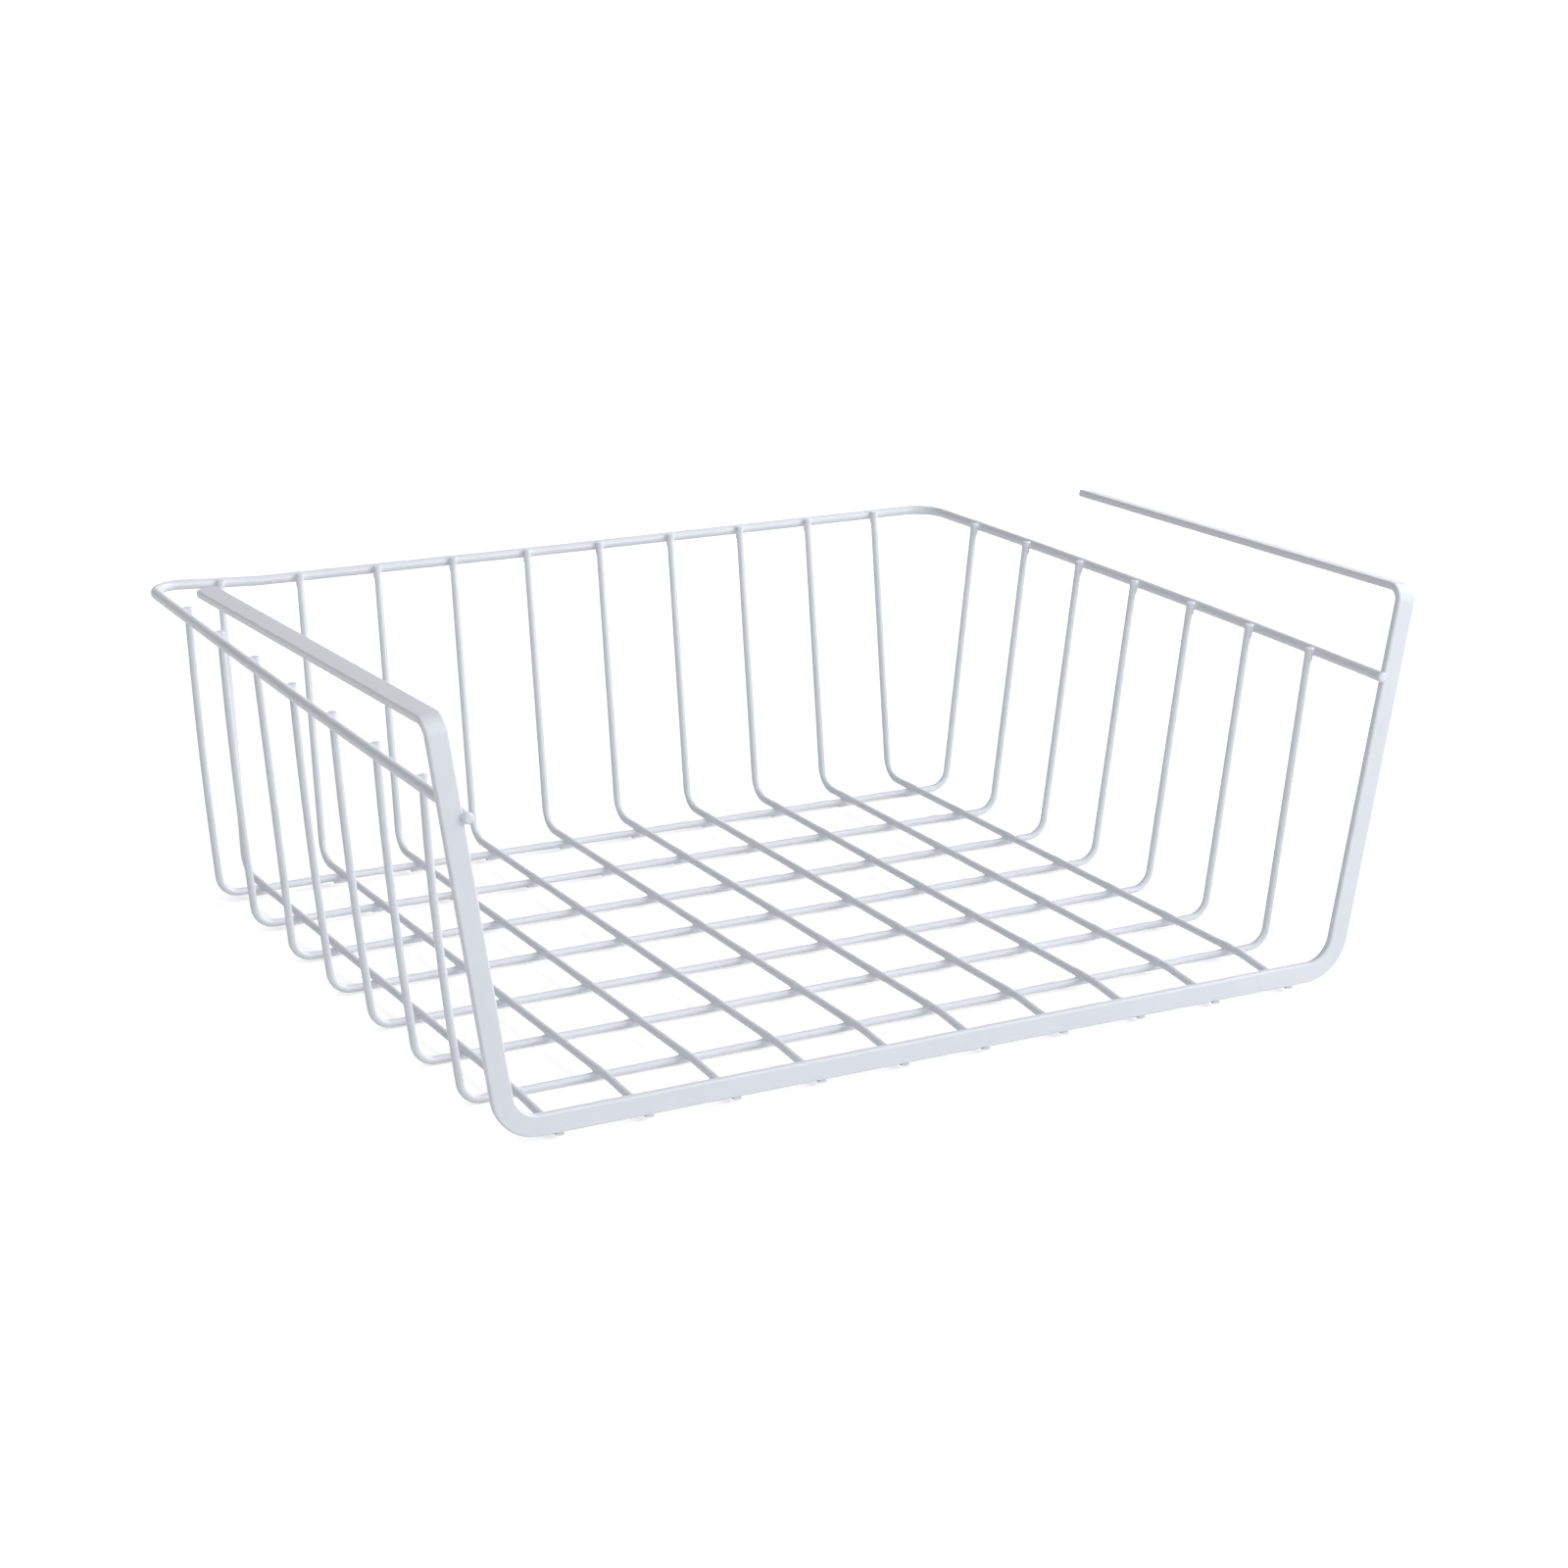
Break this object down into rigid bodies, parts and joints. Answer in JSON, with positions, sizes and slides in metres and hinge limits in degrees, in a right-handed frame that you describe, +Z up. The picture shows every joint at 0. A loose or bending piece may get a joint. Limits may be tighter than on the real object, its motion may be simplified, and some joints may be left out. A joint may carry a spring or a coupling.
{
  "type": "under shelf basket",
  "caption": "Open-front wire basket that hangs below a shelf board: two flat arms slide over the board, and the basket of crossed wires hangs from them.",
  "frame": {"origin": "middle of the underside of the whole basket, on the surface that its floor wires stand on", "axes": "+Z up, -Y towards the open front, +X to the right of someone who faces the open front"},
  "size_m": [0.4014, 0.3228, 0.1532],
  "materials": {
    "frame_coating": "satin white powder coating",
    "rim_coating": "satin white powder coating",
    "side_wire_coating": "satin white powder coating",
    "back_wire_coating": "satin white powder coating"
  },
  "bodies": {
    "root": {"hanging_frame": "frame_coating", "rim_wire": "rim_coating", "side_floor_wire_01": "side_wire_coating", "side_floor_wire_02": "side_wire_coating", "side_floor_wire_03": "side_wire_coating", "side_floor_wire_04": "side_wire_coating", "side_floor_wire_05": "side_wire_coating", "side_floor_wire_06": "side_wire_coating", "side_floor_wire_07": "side_wire_coating", "back_floor_wire_01": "back_wire_coating", "back_floor_wire_02": "back_wire_coating", "back_floor_wire_03": "back_wire_coating", "back_floor_wire_04": "back_wire_coating", "back_floor_wire_05": "back_wire_coating", "back_floor_wire_06": "back_wire_coating", "back_floor_wire_07": "back_wire_coating", "back_floor_wire_08": "back_wire_coating", "back_floor_wire_09": "back_wire_coating", "back_floor_wire_10": "back_wire_coating"}
  },
  "joints": []
}
